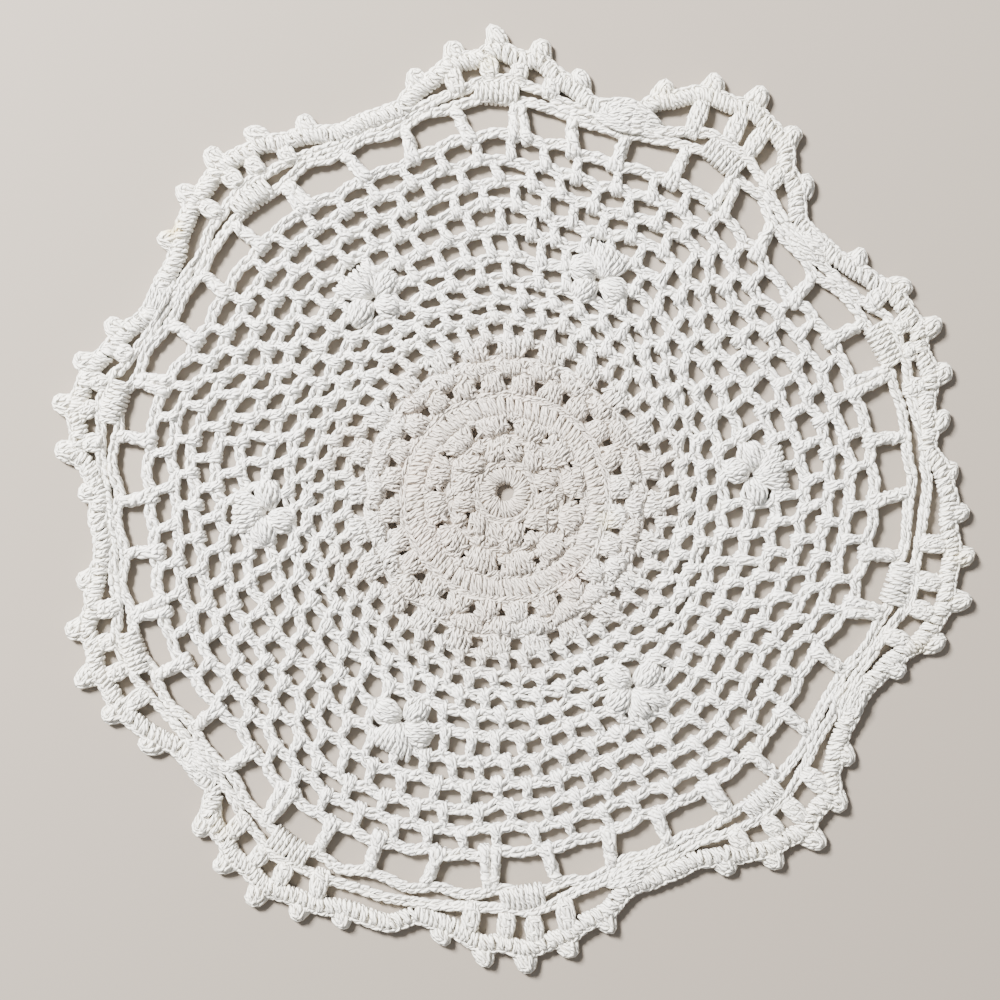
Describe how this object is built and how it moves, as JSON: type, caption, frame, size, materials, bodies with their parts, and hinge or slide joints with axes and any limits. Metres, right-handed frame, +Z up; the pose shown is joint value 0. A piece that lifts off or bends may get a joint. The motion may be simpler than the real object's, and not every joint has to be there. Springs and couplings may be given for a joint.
{
  "type": "lace doily",
  "caption": "Round crocheted cotton table doily with a close centre, open net ground, raised flowers and a scalloped picot edge, lying flat.",
  "frame": {"origin": "middle of the doily's bounding box, on its underside, which is the surface it lies on", "axes": "+Z up out of the table, through the thin way of the cloth; +X and +Y in its plane, with the eye of the work a little to the -X side"},
  "size_m": [0.2388, 0.2444, 0.0037],
  "materials": {
    "cotton": "matte plied cotton yarn"
  },
  "bodies": {
    "root": {"doily": "cotton"}
  },
  "joints": []
}
